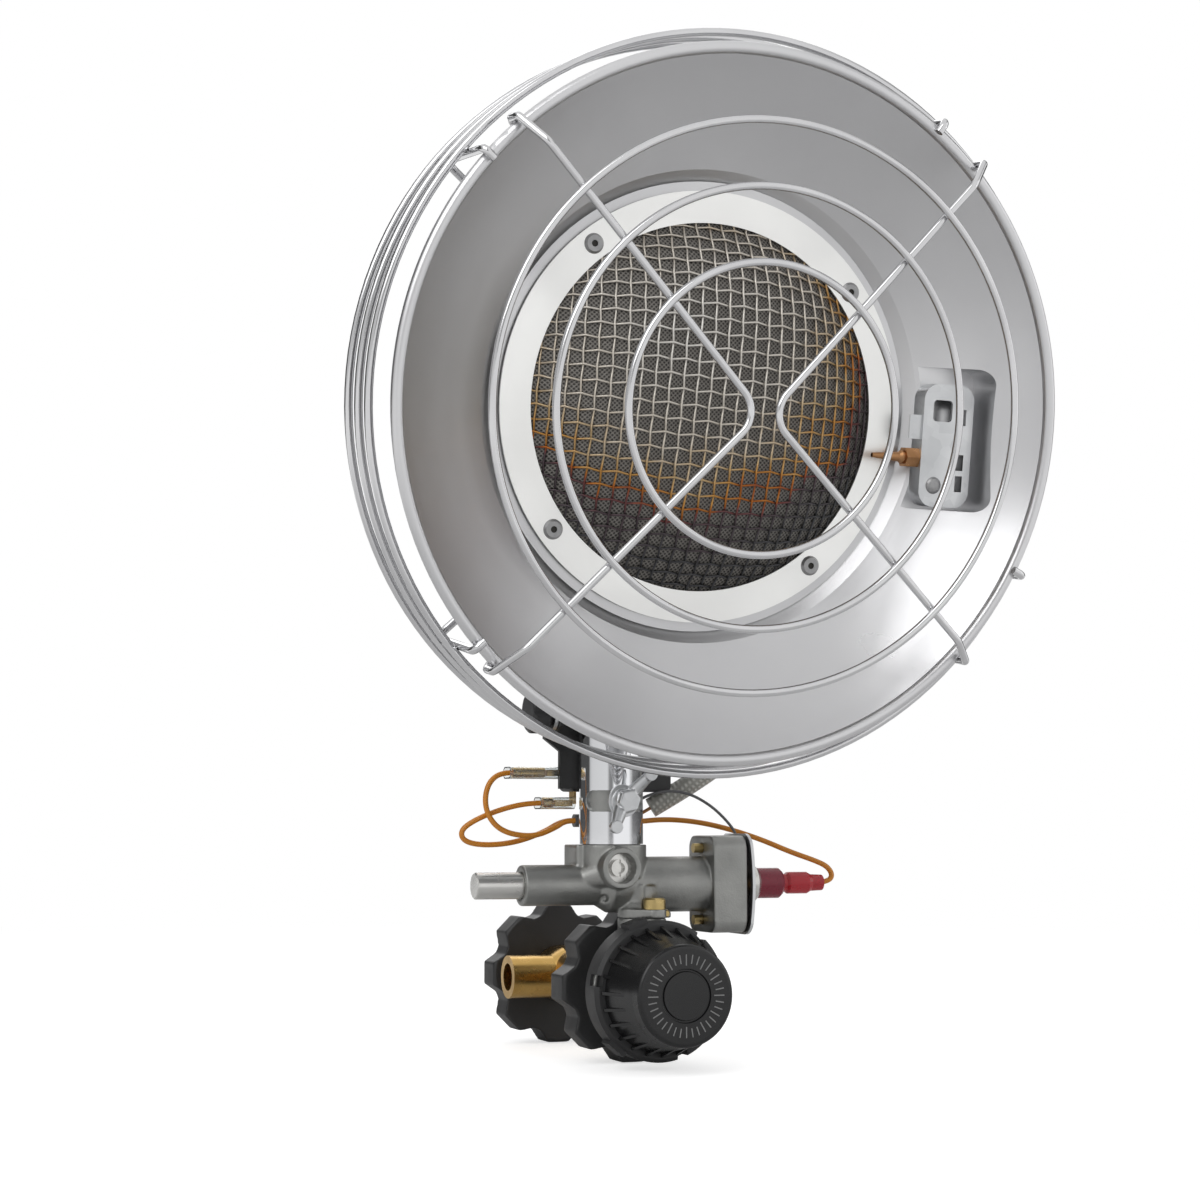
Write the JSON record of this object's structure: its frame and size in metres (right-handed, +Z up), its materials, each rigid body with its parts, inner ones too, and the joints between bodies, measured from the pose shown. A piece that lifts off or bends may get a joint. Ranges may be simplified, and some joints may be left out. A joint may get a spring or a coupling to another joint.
{
  "type": "portable propane heater",
  "caption": "Tank-top radiant propane heater: tilting reflector with a mesh burner face and wire guards on a swivel neck, gas valve, regulator and hand nuts.",
  "frame": {"origin": "centre of the inlet nipple's brass tip, where it seats in the gas cylinder's valve", "axes": "+Y along the inlet nipple towards the cylinder's valve, so -Y is the side that the reflector faces; +Z up along the neck; +X to the right as seen from the front, towards the magnet lead"},
  "size_m": [0.2662, 0.2833, 0.3777],
  "materials": {
    "reflector_steel": "brushed, polished",
    "ring_steel": "satin",
    "mesh_steel": "heat-tinted wire cloth",
    "mesh_dark": "fine dark wire cloth",
    "galvanised": "galvanised sheet",
    "wire_chrome": "bright chrome wire",
    "tube_chrome": "bright chrome",
    "zinc_casting": "fine cast",
    "machined_alloy": "turned",
    "brass": "plain",
    "zinc_yellow": "yellow zinc plate",
    "copper": "tinted copper",
    "black_plastic": "fine matt",
    "black_gloss": "gloss",
    "black_paint": "black",
    "rubber_black": "matt",
    "red_vinyl": "vinyl",
    "dark_red_vinyl": "vinyl",
    "orange_vinyl": "vinyl",
    "grey_vinyl": "vinyl",
    "clear_vinyl": "clear sleeve",
    "glass_braid": "braided sleeve",
    "gasket": "pressed fibre",
    "spring_steel": "spring wire"
  },
  "bodies": {
    "base": {"valve_body": "zinc_casting", "boss_plug": "machined_alloy", "swivel_post": "zinc_casting", "gas_orifice": "brass", "flange_gasket": "gasket", "cover_plate": "galvanised", "flange_screws": "zinc_yellow", "magnet_unit": "brass", "magnet_nut": "machined_alloy", "lead_boot": "dark_red_vinyl", "lead_connector": "red_vinyl", "magnet_lead": "orange_vinyl", "ground_wire": "grey_vinyl", "button_spring": "spring_steel", "column_screws": "zinc_yellow", "regulator_body": "zinc_casting", "diaphragm": "rubber_black", "regulator_spring": "spring_steel", "regulator_cover": "black_plastic", "vent_cap": "black_gloss", "regulator_nipple": "brass", "tee_body": "brass", "inlet_nipple": "brass", "nipple_seal": "rubber_black"},
    "neck": {"neck_tube": "tube_chrome", "tilt_bracket": "black_paint", "pivot_rivet": "galvanised", "switch_box": "black_plastic", "switch_lid": "black_plastic", "switch_terminals": "brass", "spade_connectors": "brass", "connector_sleeves": "clear_vinyl", "switch_leads": "orange_vinyl", "lead_splice": "grey_vinyl", "thermocouple_lead": "copper", "thermocouple_sleeve": "glass_braid"},
    "head": {"reflector": "reflector_steel", "face_ring": "ring_steel", "outer_mesh": "mesh_steel", "inner_mesh": "mesh_dark", "burner_bowl": "galvanised", "head_rivets": "ring_steel", "venturi_elbow": "galvanised", "tilt_yoke": "galvanised", "guard_wire_left": "wire_chrome", "guard_wire_right": "wire_chrome", "guard_ring_inner": "wire_chrome", "guard_ring_middle": "wire_chrome", "guard_ring_outer": "wire_chrome", "rear_guard_wires": "wire_chrome", "rear_guard_rings": "wire_chrome", "thermocouple_bracket": "galvanised", "thermocouple": "copper"},
    "tilt_knob": {"tilt_knob": "black_plastic"},
    "tip_ball": {"tip_ball": "spring_steel"},
    "wing_screw": {"wing_screw": "galvanised"},
    "tank_nut": {"tank_nut": "black_plastic"},
    "regulator_nut": {"regulator_nut": "black_plastic"},
    "button": {"push_button": "machined_alloy", "plunger_rod": "machined_alloy"}
  },
  "joints": [
    {"name": "head_swivel", "type": "hinge", "parent": "base", "child": "neck", "pos_m": [-0.0114, -0.1185, 0.0405], "axis": [0, 0, 1], "range_deg": [-55, 55], "deforming": ["magnet_lead", "ground_wire"]},
    {"name": "head_tilt", "type": "hinge", "parent": "neck", "child": "head", "pos_m": [-0.0114, -0.1185, 0.1085], "axis": [-1, 0, 0], "range_deg": [-20, 40], "deforming": ["thermocouple_sleeve"]},
    {"name": "button_push", "type": "slide", "parent": "base", "child": "button", "axis": [1, 0, 0], "range_m": [0, 0.006], "stiffness_N_per_m": 400, "springref_m": -0.004, "deforming": ["button_spring"]},
    {"name": "wing_screw_turn", "type": "hinge", "parent": "base", "child": "wing_screw", "pos_m": [-0.0114, -0.1185, 0.0735], "axis": [0, -1, 0], "range_deg": [0, 360]},
    {"name": "tilt_knob_turn", "type": "hinge", "parent": "neck", "child": "tilt_knob", "pos_m": [-0.0114, -0.1185, 0.1085], "axis": [-1, 0, 0], "range_deg": [0, 360]},
    {"name": "tip_ball_rise", "type": "slide", "parent": "neck", "child": "tip_ball", "axis": [0, 0, 1], "range_m": [0, 0.004]},
    {"name": "tank_nut_turn", "type": "hinge", "parent": "base", "child": "tank_nut", "pos_m": [0, -0.0135, 0], "axis": [0, 1, 0], "continuous": true},
    {"name": "regulator_nut_turn", "type": "hinge", "parent": "base", "child": "regulator_nut", "pos_m": [0, -0.1035, 0], "axis": [0, 1, 0], "continuous": true}
  ]
}
